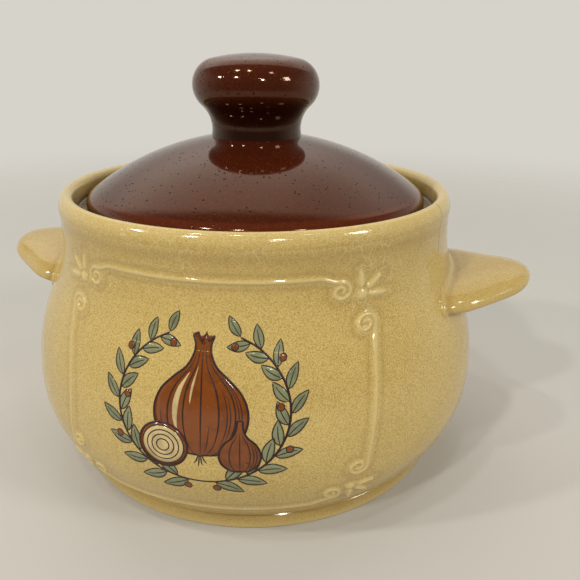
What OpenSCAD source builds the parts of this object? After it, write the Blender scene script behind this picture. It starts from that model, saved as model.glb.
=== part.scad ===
// Lidded soup crock in glazed stoneware: a bellied pot with two tab lugs, a raised
// panel frame on the front, and a domed lid with a mushroom knob that sits in a seat
// inside the rim. Millimetres, +Z up, front towards -Y, origin under the foot's centre.

/* [Pot] */
// Diameter of the pot at its widest ring
belly_d = 140; // [132:1:150]
// Height of the widest ring above the table
belly_z = 28.5; // [26:0.5:31]
// Radius of the arc below the widest ring
low_arc_r = 33; // [30:0.5:38]
// Radius of the arc above the widest ring
up_arc_r = 57.5; // [50:0.5:65]
// How far the neck's narrowest ring lies inside the widest ring
neck_in = 10.9; // [8:0.1:14]
// Radius of the hollow curve from the shoulder into the neck
neck_arc_r = 39; // [32:0.5:46]
// Height of the lip above the neck's narrowest ring
lip_h = 9.5; // [9:0.25:14]
// How far the lip stands out past the neck
lip_flare = 0.2; // [0:0.1:2]
// Thickness of the lip
lip_t = 4.5; // [3.5:0.1:6]
// Thickness of the wall
wall = 5.5; // [4:0.25:7]
// Thickness of the floor
floor_t = 6.5; // [4:0.25:9]

/* [Foot] */
// Step from the wall in to the foot band
foot_step = 0.2; // [0:0.1:3]
// Height of the foot band
foot_h = 5; // [3:0.25:6.5]
// Width of the foot's resting ring
foot_ring_w = 9; // [5:0.5:14]
// Depth of the hollow inside the resting ring
foot_hollow = 2.5; // [1:0.25:4]
// Radius of the crease above the foot band
crease_r = 0.9; // [0.4:0.1:1.4]

/* [Lid seat] */
// Depth of the seat below the rim
seat_depth = 6.3; // [4:0.1:8]
// Width of the ledge that carries the lid
ledge_w = 6.8; // [6:0.1:9]
// Thickness of the ledge at the mouth
ledge_t = 3.5; // [2.5:0.25:5]

/* [Lugs] */
// Drop from the neck's narrowest ring to the lugs' root
lug_drop = 17.1; // [14:0.1:26]
// How far a lug stands out from the wall
lug_out = 21.6; // [16:0.1:28]
// Width of a lug at its root
lug_w = 50.5; // [44:0.5:58]
// Width of a lug part of the way out
lug_mid_w = 34; // [30:0.5:40]
// Plan radius of a lug's shoulders
lug_side_r = 17; // [12:0.5:20]
// Plan radius of a lug's tip
lug_tip_r = 14.5; // [11:0.25:16]
// Thickness of a lug
lug_t = 6.5; // [5:0.25:9]
// Radius of a lug's lower edge
lug_low_r = 1.3; // [0.8:0.1:2.2]
// Width of the rounded slope round a lug's top
lug_slope_w = 7; // [4:0.25:9]
// Upward tilt of a lug, in degrees
lug_tilt = 7.2; // [0:0.2:10]
// Turn of the lugs about the pot, away from square to the frame, in degrees
lug_turn = -2.4; // [-5:0.2:5]

/* [Lid] */
// Gap between the lid's edge and the rim
lid_gap = 3.2; // [1:0.1:3.6]
// Radius of the lid's rounded edge
lid_edge_r = 2.5; // [1.5:0.1:3]
// Radius of the dome's outside
dome_r = 85; // [75:0.5:110]
// Thickness of the dome
lid_t = 5; // [4:0.25:6]
// Gap between the lid's collar and the mouth
collar_gap = 1.2; // [0.5:0.1:2]
// Thickness of the collar under the lid
collar_t = 4.3; // [3:0.1:6]
// Depth of the collar below the lid's rest
collar_h = 5.5; // [3:0.25:8]

/* [Knob] */
// Diameter of the knob at its widest
knob_d = 37.6; // [32:0.2:44]
// Height of the knob above the dome
knob_h = 22.4; // [20:0.2:26]
// Radius of the knob's rounded side
knob_side_r = 7.7; // [6.5:0.1:9]
// Radius of the knob's flattened crown
knob_crown_r = 60; // [40:1:90]
// Diameter of the knob's neck
knob_neck_d = 26.8; // [22:0.2:30]
// Radius of the hollow curve under the knob
knob_hollow_r = 9; // [7:0.25:11]

/* [Panel] */
// Width of the raised frame, across the front
panel_w = 78.4; // [70:0.2:84]
// Gap between the top rail and the neck's narrowest ring
panel_top_gap = 2; // [1.5:0.25:6]
// Gap between the foot band and the bottom rail
panel_low_gap = 7; // [4:0.25:12]
// Width of a rail
rail_w = 1.5; // [1:0.1:2.4]
// How far the relief stands out from the wall
relief = 0.6; // [0.4:0.05:1]

/* [Corner sprigs] */
// Distance of the bead from the side rail
bead_in_x = 3.7; // [3:0.1:5]
// Distance of the bead from the top or bottom rail
bead_in_z = 5; // [4:0.1:6]
// Diameter of the bead
bead_d = 2.6; // [1.8:0.1:3.2]
// Length of a petal
petal_l = 4.8; // [3:0.1:6]
// Width of a petal
petal_w = 2; // [1.2:0.1:2.6]
// Angle between two petals, in degrees
petal_fan = 50; // [40:1:60]
// Outer diameter of a scroll
scroll_d = 5; // [4:0.1:6]
// Width of a scroll's band
scroll_w = 1.3; // [0.8:0.1:1.6]
// Distance from the bead to the scroll of the top or bottom rail
scroll_in_x = 4.8; // [4.4:0.1:7]
// Distance from the bead to the scroll of the side rail
scroll_in_z = 7; // [5.5:0.1:9]
// Distance of a scroll from the bead, towards its rail
scroll_across = 1.4; // [0.5:0.1:2]

/* [Fits] */
// Gap under the resting lid
seat_gap = 0.3; // [0.2:0.05:0.6]
// Gap between neighbouring pieces of relief
relief_gap = 0.2; // [0.1:0.05:0.4]

/* [Hidden] */
$fn = 96;
clay = "#c9b06e";
relief_clay = "#d4bd80";
glaze_brown = "#5a2013";

// Length by which cuts run past what they cut
overrun = 1;
// Depth by which an arc cuts into the next, so that the two cross cleanly
bite = 0.01;
// Facets of a circle inside a lug's hull
lug_facets = 32;
// Where a lug's shoulders lie between its root and its tip
lug_mid_share = 0.375;
// Steps in the slope round a lug's top
lug_steps = 8;
// Fullness of that slope: 0.5 is a quarter of an ellipse, more is flatter
lug_fullness = 0.6;
// Opening of a scroll's ring, in degrees
scroll_gap_angle = 70;

// The wall: two belly arcs and one hollow shoulder arc, each running into the next
belly_r = belly_d / 2;
neck_r = belly_r - neck_in;
low_c_r = belly_r - low_arc_r;
up_c_r = belly_r - up_arc_r;
neck_c_r = neck_r + neck_arc_r;
arcs_r = up_arc_r + neck_arc_r - bite;
neck_z = belly_z + sqrt(arcs_r * arcs_r - (neck_c_r - up_c_r) * (neck_c_r - up_c_r));

// Height at which the belly turns into the shoulder, with the wall grown by g
function turn_z(g) = belly_z + (neck_z - belly_z) * (up_arc_r + g) / arcs_r;

// Radius of the wall's outside at height z
function wall_r(z) =
    z < turn_z(0)
        ? up_c_r + sqrt(up_arc_r * up_arc_r - (z - belly_z) * (z - belly_z))
        : neck_c_r - sqrt(neck_arc_r * neck_arc_r - (z - neck_z) * (z - neck_z));

// Rim, seat, floor and foot
rim_z = neck_z + lip_h;
lip_r = neck_r + lip_flare;
seat_r = lip_r - lip_t;
mouth_r = seat_r - ledge_w;
lip_round_r = lip_t / 2;
lip_c_r = lip_r - lip_round_r;
lip_c_z = rim_z - lip_round_r;
seat_z = rim_z - seat_depth;
floor_z = foot_hollow + floor_t;
foot_r = low_c_r + sqrt(low_arc_r * low_arc_r - (belly_z - foot_h) * (belly_z - foot_h)) - foot_step;

// Lid: the dome's arc runs into the edge's arc
lid_r = seat_r - lid_gap;
lid_z = seat_z + seat_gap;
lid_edge_c_r = lid_r - lid_edge_r;
lid_edge_z = lid_z + lid_edge_r;
dome_c_z = lid_edge_z - sqrt(pow(dome_r - lid_edge_r + bite, 2) - pow(lid_edge_c_r, 2));
dome_top_z = dome_c_z + dome_r;
collar_r = mouth_r - collar_gap;
collar_in_r = collar_r - collar_t;
collar_z = lid_z - collar_h;

// Knob: the crown's arc runs into the side's, and the side's into the hollow's
knob_top_z = dome_top_z + knob_h;
knob_side_c_r = knob_d / 2 - knob_side_r;
knob_crown_c_z = knob_top_z - knob_crown_r;
knob_side_z = knob_crown_c_z + sqrt(pow(knob_crown_r - knob_side_r + bite, 2) - pow(knob_side_c_r, 2));
knob_hollow_c_r = knob_neck_d / 2 + knob_hollow_r;
knob_arcs_r = knob_side_r + knob_hollow_r - bite;
knob_hollow_z = knob_side_z - sqrt(pow(knob_arcs_r, 2) - pow(knob_hollow_c_r - knob_side_c_r, 2));
knob_turn_share = knob_side_r / knob_arcs_r;
knob_turn_z = knob_side_z + (knob_hollow_z - knob_side_z) * knob_turn_share;

// Lugs: the root is buried one wall deep, then cut back to the wall's face
lug_z = neck_z - lug_drop;
lug_root_r = wall_r(lug_z) - wall;
lug_l = wall + lug_out;

// Panel: the frame's middle and its height follow the wall
panel_top_z = neck_z - panel_top_gap;
panel_low_z = foot_h + panel_low_gap;
panel_h = panel_top_z - panel_low_z;
panel_z = (panel_top_z + panel_low_z) / 2;

// Part of a circle between two heights, filled in to the axis
module arc_band(c_r, c_z, r, z_low, z_high) {
    intersection() {
        translate([c_r, c_z]) circle(r);
        translate([c_r, z_low]) square([r, z_high - z_low]);
    }
    translate([0, z_low]) square([c_r, z_high - z_low]);
}

// Half section of the wall's filled outline from foot to neck, grown by g
module wall_section(g) {
    arc_band(low_c_r, belly_z, low_arc_r + g, foot_h, belly_z);
    difference() {
        union() {
            arc_band(up_c_r, belly_z, up_arc_r + g, belly_z, neck_z);
            translate([0, turn_z(g)]) square([neck_c_r, neck_z - turn_z(g)]);
        }
        translate([neck_c_r, neck_z]) circle(neck_arc_r - g);
    }
}

// Neck and rounded lip above the wall's arcs
module lip_section() {
    polygon([[0, neck_z], [neck_r, neck_z], [lip_r, lip_c_z], [0, lip_c_z]]);
    intersection() {
        translate([lip_c_r, lip_c_z]) circle(lip_round_r);
        translate([0, lip_c_z]) square([lip_r, lip_round_r]);
    }
}

// Everything hollow: the well, the mouth in the ledge and the seat for the lid
module hollow_section() {
    difference() {
        wall_section(-wall);
        square([belly_r, floor_z]);
        polygon([
            [mouth_r, seat_z],
            [mouth_r, seat_z - ledge_t],
            [neck_c_r, seat_z - ledge_t - (neck_c_r - mouth_r)],
            [neck_c_r, seat_z]
        ]);
    }
    translate([0, belly_z]) square([mouth_r, seat_z - belly_z]);
    translate([0, seat_z]) square([seat_r, lip_c_z - seat_z]);
}

module crock_body() {
    color(clay)
    rotate_extrude()
    difference() {
        union() {
            wall_section(0);
            lip_section();
            square([foot_r, foot_h]);
        }
        hollow_section();
        translate([0, -overrun]) square([foot_r - foot_ring_w, foot_hollow + overrun]);
        translate([foot_r, foot_h]) circle(crease_r);
    }
}

// Disc with a domed top and a small round along its lower edge
module domed_disc(r) {
    low = lug_low_r - lug_t / 2;
    rotate_extrude($fn = lug_facets)
    polygon(concat(
        [[0, -lug_t / 2]],
        [for (a = [-90:22.5:0]) [r + lug_low_r * (cos(a) - 1), low + lug_low_r * sin(a)]],
        [for (i = [1:lug_steps])
            let (u = pow(i / lug_steps, 2))
            [r - lug_slope_w * u,
             low + (lug_t - lug_low_r) * pow(1 - pow(1 - u, 2), lug_fullness)]],
        [[0, lug_t / 2]]));
}

// Tab lug on the +X side: domed tab from a broad root to a narrow tip
module lug() {
    difference() {
        translate([lug_root_r, 0, lug_z])
        rotate([0, -lug_tilt, 0])
        hull() {
            for (side = [-1, 1]) {
                translate([0, side * (lug_w / 2 - lug_side_r), 0]) domed_disc(lug_side_r);
                translate([lug_l * lug_mid_share, side * (lug_mid_w / 2 - lug_side_r), 0])
                domed_disc(lug_side_r);
            }
            translate([lug_l - lug_tip_r, 0, 0]) domed_disc(lug_tip_r);
        }
        rotate_extrude() wall_section(0);
    }
}

module right_lug() {
    color(clay) rotate(lug_turn) lug();
}

module left_lug() {
    color(clay) rotate(lug_turn) mirror([1, 0, 0]) lug();
}

// Presses a flat drawing of the front, in X and Z, into a skin on the wall
module raised() {
    intersection() {
        rotate([90, 0, 0]) linear_extrude(belly_r + relief + overrun) children();
        rotate_extrude() difference() {
            wall_section(relief);
            wall_section(0);
        }
    }
}

// Leaf shape between two equal arcs, from the origin along +X
module petal() {
    arc_r = (petal_l * petal_l / 4 + petal_w * petal_w / 4) / petal_w;
    intersection() {
        translate([petal_l / 2, arc_r - petal_w / 2]) circle(arc_r);
        translate([petal_l / 2, petal_w / 2 - arc_r]) circle(arc_r);
    }
}

// Open ring with its gap towards +X
module scroll(grow) {
    reach = scroll_d / 2 + grow + overrun;
    difference() {
        circle(scroll_d / 2 + grow);
        circle(scroll_d / 2 - scroll_w - grow);
        polygon([
            [0, 0],
            [reach, -reach * tan(scroll_gap_angle / 2)],
            [reach, reach * tan(scroll_gap_angle / 2)]
        ]);
    }
}

// Bead, three petals and two scrolls of the upper right corner, from the bead's centre
module corner_drawing(grow = 0) {
    circle(bead_d / 2 + grow);
    for (turn = [-petal_fan, 0, petal_fan]) {
        rotate(45 + turn) translate([bead_d / 2 + relief_gap, 0]) petal();
    }
    translate([-scroll_in_x, scroll_across]) rotate(-45) scroll(grow);
    translate([scroll_across, -scroll_in_z]) rotate(135) scroll(grow);
}

// Puts a corner drawing at the corner given by its two signs
module at_corner(side, end) {
    translate([side * (panel_w / 2 - bead_in_x), panel_z + end * (panel_h / 2 - bead_in_z)])
    mirror([side < 0 ? 1 : 0, 0])
    mirror([0, end < 0 ? 1 : 0])
    children();
}

// Four straight rails, each ending against the scrolls of its corners
module rails_drawing() {
    rail_x = panel_w / 2 - bead_in_x - scroll_in_x;
    rail_z = panel_h / 2 - bead_in_z - scroll_in_z;
    difference() {
        union() {
            for (s = [-1, 1]) {
                translate([-rail_x, panel_z + s * panel_h / 2 - rail_w / 2])
                square([2 * rail_x, rail_w]);
                translate([s * panel_w / 2 - rail_w / 2, panel_z - rail_z])
                square([rail_w, 2 * rail_z]);
            }
        }
        for (side = [-1, 1], end = [-1, 1]) {
            at_corner(side, end) corner_drawing(relief_gap);
        }
    }
}

module panel_rails() {
    color(relief_clay) raised() rails_drawing();
}

module sprig(side, end) {
    color(relief_clay) raised() at_corner(side, end) corner_drawing();
}

module top_left_sprig() {
    sprig(-1, 1);
}

module top_right_sprig() {
    sprig(1, 1);
}

module bottom_left_sprig() {
    sprig(-1, -1);
}

module bottom_right_sprig() {
    sprig(1, -1);
}

// Half section under a crowned top: a crown arc from the axis, then a side arc
module crowned_section(crown_r, crown_c_z, side_r, side_c_r, side_z, bottom_z) {
    lean_r = side_c_r / (crown_r - side_r);
    lean_z = (side_z - crown_c_z) / (crown_r - side_r);
    far = 2 * side_r;
    top_z = crown_c_z + crown_r + overrun;
    intersection() {
        translate([0, crown_c_z]) circle(crown_r);
        polygon([
            [0, bottom_z],
            [side_c_r, bottom_z],
            [side_c_r, side_z],
            [side_c_r + lean_r * far, side_z + lean_z * far],
            [side_c_r + lean_r * far, top_z],
            [0, top_z]
        ]);
    }
    translate([side_c_r, side_z]) circle(side_r);
}

module lid_dome() {
    color(glaze_brown)
    rotate_extrude()
    difference() {
        union() {
            crowned_section(dome_r, dome_c_z, lid_edge_r, lid_edge_c_r, lid_edge_z, lid_z);
            translate([0, collar_z]) square([collar_r, lid_z - collar_z]);
        }
        intersection() {
            translate([0, dome_c_z]) circle(dome_r - lid_t);
            translate([0, collar_z - overrun]) square([collar_in_r, dome_r]);
        }
    }
}

module lid_knob() {
    color(glaze_brown)
    rotate_extrude()
    difference() {
        union() {
            crowned_section(
                knob_crown_r, knob_crown_c_z, knob_side_r, knob_side_c_r, knob_side_z, lid_z);
            translate([0, lid_z]) square([knob_hollow_c_r, knob_turn_z - lid_z]);
        }
        translate([knob_hollow_c_r, knob_hollow_z]) circle(knob_hollow_r);
        translate([0, dome_c_z]) circle(dome_r);
    }
}

crock_body();
left_lug();
right_lug();
panel_rails();
top_left_sprig();
top_right_sprig();
bottom_left_sprig();
bottom_right_sprig();
lid_dome();
lid_knob();
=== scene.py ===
import math

import bmesh
import bpy
import numpy as np
from bpy.props import FloatProperty, FloatVectorProperty, IntProperty, PointerProperty
from bpy.types import Operator, Panel, PropertyGroup
from mathutils import Matrix, Vector


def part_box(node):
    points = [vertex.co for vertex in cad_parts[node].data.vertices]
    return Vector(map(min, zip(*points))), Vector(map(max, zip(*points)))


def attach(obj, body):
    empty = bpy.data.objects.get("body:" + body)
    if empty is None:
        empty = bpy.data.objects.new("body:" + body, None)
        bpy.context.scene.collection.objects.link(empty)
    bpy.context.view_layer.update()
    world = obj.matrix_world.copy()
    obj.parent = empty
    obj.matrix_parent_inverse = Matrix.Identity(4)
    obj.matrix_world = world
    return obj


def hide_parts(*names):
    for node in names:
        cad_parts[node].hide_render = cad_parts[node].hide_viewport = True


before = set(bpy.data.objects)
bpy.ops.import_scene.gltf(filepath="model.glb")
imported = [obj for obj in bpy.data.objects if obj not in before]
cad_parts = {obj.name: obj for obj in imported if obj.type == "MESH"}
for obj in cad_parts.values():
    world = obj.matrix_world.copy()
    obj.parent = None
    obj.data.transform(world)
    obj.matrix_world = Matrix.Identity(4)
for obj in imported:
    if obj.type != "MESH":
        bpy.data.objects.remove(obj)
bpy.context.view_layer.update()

POT_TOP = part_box("crock_body")[1]
LID_LOW, LID_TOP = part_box("lid_dome")
KNOB_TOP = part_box("lid_knob")[1]

bl_info = {
    "name": "Soup Crock",
    "version": (1, 0, 0),
    "blender": (4, 5, 0),
    "location": "View3D > Sidebar > Crock",
    "description": "Builds a lidded stoneware soup crock around its packed frame",
    "category": "Object",
}

MM = 0.001
TAU = 2 * math.pi

# Camera: the photo's frame in pixels, its focal length in the same, and its place before its turn
FRAME_PIXELS = 580
CAMERA_FOCAL = 600
CAMERA_PITCH = math.radians(21.56)
CAMERA_ROLL = math.radians(0.51)
CAMERA_TURN = math.radians(8.7)
CAMERA_PLACE = Vector((10.546, -187.43, 120.11)) * MM

# Light: each lamp's name, azimuth and height in degrees, side length and power
LAMPS = (
    ("ceiling_a", -62, 34, 0.09, 5.2),
    ("ceiling_b", -46, 64, 0.09, 2.4),
    ("ceiling_c", -28, 40, 0.09, 5.0),
    ("ceiling_d", -10, 68, 0.09, 1.8),
    ("front", 24, 34, 0.10, 4.6),
    ("side_a", 72, 32, 0.28, 6.0),
    ("side_b", 52, 58, 0.12, 1.0),
)
LAMP_DISTANCE = 1.6
LAMP_COLOUR = (1.0, 0.965, 0.91)
LAMP_AIM = Vector((0, 0, 60)) * MM
ROOM_CEILING = 2.0  # light of the ceiling over that of the walls
ROOM_SHADE = 0.24  # light behind the camera over that of the walls

# Making: colours, angles and shares that no setting holds
BROWN_GLEAM = (1.0, 0.68, 0.47)  # colour of the brown glaze's reflections
PIN_HOLE = (0.014, 0.005, 0.003)  # colour of the pin-holes in it
HAIRLINE_TURN = math.radians(69)  # place of the fine crack, round from the right
LUG_MID_SHARE = 0.375  # place of a lug's middle width along its length
LUG_FULLNESS = 0.6  # power of the slope round a lug's top
INK_LAYERS = 5  # layers of ink that the wall makes room for
RELIEF_PLAIN = math.radians(20.5)  # half turn of the front without sprigs
RELIEF_TURN = math.radians(46)  # half turn of the front that carries relief
RAIL_RUN = 5.5 * MM  # length over which a rail runs into its scroll
RAIL_BEND = 2.6 * MM  # handle of that curve
SCROLL_SWEEP = 480  # degrees that a scroll turns
SCROLL_EYE = 0.55 * MM  # radius at which it ends
SWAY_REACH = 22 * MM  # half height of the side rails' bow
SWAY_DROP = 2 * MM  # drop of the bow's middle below the frame's


# Settings that a user would change

def length(name, description, millimetres):
    """A length in metres whose default is written in millimetres."""
    return FloatProperty(
        name=name, description=description, default=millimetres * MM, unit="LENGTH", precision=5)


def turn(name, description, degrees):
    """An angle whose default is written in degrees."""
    return FloatProperty(
        name=name, description=description, default=math.radians(degrees), subtype="ANGLE")


def tint(name, description, colour):
    """A colour in scene-linear values."""
    return FloatVectorProperty(
        name=name, description=description, default=colour, size=3, min=0, max=1, subtype="COLOR")


class PotSizes(PropertyGroup):
    belly_radius: length("Belly radius", "Radius of the widest ring", max(POT_TOP.xy) / MM)
    belly_height: length("Belly height", "Height of the widest ring", 28.5)
    low_arc: length("Lower arc", "Radius of the arc below the widest ring", 33)
    up_arc: length("Upper arc", "Radius of the arc above the widest ring", 57.5)
    neck_in: length("Neck inset", "How far the neck lies inside the widest ring", 10.9)
    neck_arc: length("Neck arc", "Radius of the hollow curve into the neck", 39)
    rim_height: length("Rim height", "Height of the rim's crest", POT_TOP.z / MM)
    lip_height: length("Lip height", "Height of the lip above the neck", 9.5)
    lip_flare: length("Lip flare", "How far the lip stands out past the neck", 0.2)
    lip_thick: length("Lip thickness", "Thickness of the lip", 4.5)
    lip_roll: length("Lip roll", "Height of the lip's rounded outside", 4.2)
    lip_dip: length("Lip dip", "Depth of the shallow groove under the lip", 0.18)
    wall: length("Wall", "Thickness of the wall", 5.5)
    floor_height: length("Floor height", "Height of the well's floor", 9)
    foot_radius: length("Foot radius", "Radius of the foot band", 59.97)
    foot_height: length("Foot height", "Height of the foot band", 5)
    foot_ring: length("Foot ring", "Width of the ring that the pot stands on", 9)
    foot_hollow: length("Foot hollow", "Depth of the hollow inside the ring", 2.5)
    crease: length("Crease", "Depth of the crease above the foot band", 0.9)
    seat_depth: length("Seat depth", "Depth of the lid's seat below the rim", 6.3)
    ledge: length("Ledge", "Width of the ledge that carries the lid", 6.8)
    ledge_thick: length("Ledge thickness", "Thickness of the ledge at the mouth", 3.5)


class ReliefSizes(PropertyGroup):
    width: length("Frame width", "Width of the raised frame, across the front", 78.4)
    top_gap: length("Top gap", "Gap between the top rail and the neck", 2)
    low_height: length("Low rail", "Height of the bottom rail", 12)
    bead_in_x: length("Bead inset", "Distance of a bead from the side rail", 3.7)
    bead_in_z: length("Bead drop", "Distance of a bead from the top or bottom rail", 5)
    bead: length("Bead radius", "Radius of a bead", 1.4)
    petal: length("Petal length", "Length of a petal", 4.8)
    petal_width: length("Petal width", "Width of a petal", 2.1)
    petal_fan: turn("Petal fan", "Angle between two petals", 50)
    scroll: length("Scroll radius", "Radius of a scroll's outer turn", 2.25)
    scroll_in_x: length("Scroll inset", "Distance from a bead to the scroll beside it", 4.8)
    scroll_in_z: length("Scroll drop", "Distance from a bead to the scroll below it", 7)
    scroll_across: length("Scroll offset", "Offset of a scroll towards its rail", 1.4)
    ridge: length("Ridge width", "Half width of a rail or scroll, at its foot", 1.2)
    sway: length("Rail sway", "How far the side rails bow to the right between their scrolls", 1.4)
    height: length("Relief height", "Height of the relief over the wall", 0.6)
    rail_share: FloatProperty(
        name="Rail share", description="Height of a rail as a share of the relief's", default=0.8,
        subtype="FACTOR", min=0, max=1)


class LugSizes(PropertyGroup):
    drop: length("Drop", "Drop from the neck to a lug's root", 17.1)
    reach: length("Reach", "How far a lug stands out from the wall", 21.54)
    root_width: length("Root width", "Width of a lug at its root", 50.5)
    mid_width: length("Middle width", "Width of a lug part of the way out", 34)
    side_radius: length("Shoulder radius", "Plan radius of a lug's shoulders", 17)
    tip_radius: length("Tip radius", "Plan radius of a lug's tip", 14.5)
    thick: length("Thickness", "Thickness of a lug", 6.5)
    tilt: turn("Tilt", "Upward tilt of a lug", 7.2)
    turn: turn("Turn", "Turn of the lugs about the pot, away from square to the frame", -2.4)
    root_fillet: length("Root fillet", "Radius of the clay pressed in round a lug's root", 1.1)
    low_round: length("Low round", "Radius of a lug's lower edge", 1.3)
    slope: length("Slope", "Width of the rounded slope round a lug's top", 13)


class LidSizes(PropertyGroup):
    radius: length("Lid radius", "Radius of the lid", max(LID_TOP.xy) / MM)
    rest: length("Rest", "Height of the lid's resting face", 76.53)
    edge: length("Edge radius", "Radius of the lid's rounded edge", 4.5)
    dome: length("Dome radius", "Radius of the dome's outside", 85)
    top: length("Dome top", "Height of the dome's top", LID_TOP.z / MM)
    thick: length("Thickness", "Thickness of the dome", 5)
    collar: length("Collar radius", "Outer radius of the collar under the lid", 46.8)
    collar_thick: length("Collar thickness", "Thickness of the collar", 4.3)
    collar_low: length("Collar foot", "Height of the collar's lower edge", LID_LOW.z / MM)
    knob_radius: length("Knob radius", "Radius of the knob at its widest", 18.8)
    knob_top: length("Knob top", "Height of the knob's crown", KNOB_TOP.z / MM)
    knob_side: length("Knob side", "Radius of the knob's rounded side", 7.7)
    knob_crown: length("Knob crown", "Radius of the knob's crown", 60)
    knob_neck: length("Knob neck", "Radius of the knob's neck", 13.4)
    knob_hollow: length("Knob hollow", "Radius of the hollow curve under the knob", 9)
    segments: IntProperty(
        name="Segments", description="Faces round the lid and the knob", default=160, min=32)


class PrintSizes(PropertyGroup):
    height: length("Print height", "Height of the printed picture's middle", 41.5)
    wreath_x: length("Wreath half width", "Half width of the wreath's stems", 21.5)
    wreath_z: length("Wreath half height", "Half height of the wreath's stems", 18.5)
    leaf: length("Leaf length", "Length of a bay leaf", 8.0)
    leaf_width: length("Leaf width", "Width of a bay leaf", 3.1)
    line: length("Line", "Width of a printed line", 0.50)
    film: length("Film", "Thickness of one layer of ink", 0.012)
    leaves: IntProperty(name="Leaves", description="Leaves on each stem", default=19, min=3)
    berries: IntProperty(name="Berries", description="Berries on each stem", default=6, min=1)


class CrockColours(PropertyGroup):
    tan: tint("Tan glaze", "Body of the tan glaze", (0.600, 0.438, 0.140))
    # Also the colour of painted shade in the lid's seat, under the lip, above the foot, low on the
    # body and on the lugs
    tan_deep_and_shade: tint("Tan, pooled", "Tan glaze where it lies thick", (0.35, 0.222, 0.058))
    tan_thin: tint("Tan, thin", "Tan glaze on edges and relief", (0.70, 0.550, 0.235))
    craze: tint("Crazing", "Fine cracks in the tan glaze", (0.74, 0.62, 0.36))
    # Also the colour of the painted dark shade deep in the lid's seat
    speck: tint("Specks", "Iron specks in the tan glaze", (0.06, 0.028, 0.012))
    brown: tint("Brown glaze", "Body of the brown glaze", (0.042, 0.0068, 0.0020))
    brown_thin: tint("Brown, thin", "Brown glaze where it breaks on edges", (0.122, 0.022, 0.0055))
    # Also the colour of painted shade under the knob's cap
    brown_deep_and_shade: tint("Brown, pooled", "Brown glaze where it lies thick", (0.009, 0.0022, 0.0012))
    clay: tint("Bare clay", "Unglazed foot ring", (0.50, 0.40, 0.27))
    rust: tint("Rust ink", "Fill of the onions and berries", (0.215, 0.056, 0.007))
    sage: tint("Sage ink", "Fill of the leaves", (0.235, 0.255, 0.135))
    cream: tint("Cream ink", "Light parts of the picture", (0.66, 0.50, 0.24))
    line: tint("Line ink", "Lines of the picture", (0.026, 0.006, 0.003))
    floor: tint("Floor", "Plain floor", (0.565, 0.552, 0.522))
    room: tint("Room", "Pale room round the crock", (0.675, 0.650, 0.590))


# Node trees, written as expressions

class Value:
    """An output socket. Sums, products and comparisons of values add Math nodes."""

    def __init__(self, graph, socket):
        self.graph = graph
        self.socket = socket

    def by(self, operation, *others):
        """A Math node on this value and others."""
        return self.graph.add("ShaderNodeMath", {"operation": operation}, [self, *others])

    def __add__(self, other):
        return self.by("ADD", other)

    def __mul__(self, other):
        return self.by("MULTIPLY", other)

    __radd__, __rmul__ = __add__, __mul__

    def __sub__(self, other):
        return self.by("SUBTRACT", other)

    def __rsub__(self, other):
        return self.by("MULTIPLY_ADD", -1.0, other)

    def __truediv__(self, other):
        return self.by("DIVIDE", other)

    def __gt__(self, other):
        return self.by("GREATER_THAN", other)

    def __lt__(self, other):
        return self.by("LESS_THAN", other)

    def __abs__(self):
        return self.by("ABSOLUTE")

    def least(self, other):
        """The smaller of two values."""
        return self.by("MINIMUM", other)

    def most(self, other):
        """The larger of two values."""
        return self.by("MAXIMUM", other)

    def rise(self, low, high):
        """Smooth step from 0 at low to 1 at high; low may be the larger."""
        return self.graph.add(
            "ShaderNodeMapRange", {"interpolation_type": "SMOOTHSTEP"},
            {"Value": self, "From Min": low, "From Max": high})


class Graph:
    """A node tree and the one method that adds nodes to it."""

    def __init__(self, tree):
        self.tree = tree

    def add(self, kind, settings=None, sockets=None, output=0):
        """Adds a node, sets its settings, then its sockets, and returns one of its outputs."""
        node = self.tree.nodes.new(kind)
        for name, value in (settings or {}).items():
            setattr(node, name, value)
        sockets = sockets or {}
        pairs = sockets.items() if isinstance(sockets, dict) else enumerate(sockets)
        for name, value in pairs:
            if isinstance(value, Value):
                self.tree.links.new(value.socket, node.inputs[name])
            else:
                node.inputs[name].default_value = value
        return Value(self, node.outputs[output]) if len(node.outputs) else node

    def noise(self, place, scale, detail, output="Fac"):
        """Smooth noise, with so many cells to a metre."""
        return self.add(
            "ShaderNodeTexNoise", None, {"Vector": place, "Scale": scale, "Detail": detail}, output)

    def split(self, vector):
        """The three parts of a vector."""
        part = self.add("ShaderNodeSeparateXYZ", None, [vector])
        return [Value(self, output) for output in part.socket.node.outputs]

    def join(self, x, y, z):
        """A vector from its three parts."""
        return self.add("ShaderNodeCombineXYZ", None, [x, y, z])

    def place(self):
        """A point of the piece, in metres."""
        return self.add("ShaderNodeTexCoord", None, None, "Object")

    def mix(self, share, first, second):
        """Colour between two colours, each a colour or a socket."""
        first, second = (c if isinstance(c, Value) else (*c, 1) for c in (first, second))
        return self.add(
            "ShaderNodeMix", {"data_type": "RGBA"}, {0: share, 6: first, 7: second}, 2)

    def attribute(self, name):
        """A number that the piece keeps for each of its points."""
        return self.add("ShaderNodeAttribute", {"attribute_name": name}, None, "Fac")


def dimmed(colour, share):
    """A colour times a number."""
    return tuple(share * part for part in colour)


def shaded(name, surface):
    """A material whose surface is made by a function of its graph."""
    material = bpy.data.materials.new(name)
    material.use_nodes = True
    material.node_tree.nodes.clear()
    graph = Graph(material.node_tree)
    graph.add("ShaderNodeOutputMaterial", None, {"Surface": surface(graph)})
    return material


def glossy(graph, colour, roughness, height, relief, gleam=(1, 1, 1)):
    """Glazed surface: colour, roughness, a height field whose full step is relief, and gleam."""
    bump = graph.add(
        "ShaderNodeBump", None, {"Strength": 1.0, "Distance": relief, "Height": height})
    return graph.add(
        "ShaderNodeBsdfPrincipled", None,
        {"Base Color": colour, "Roughness": roughness, "Normal": bump, "IOR": 1.5,
         "Specular Tint": (*gleam, 1)})


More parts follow.
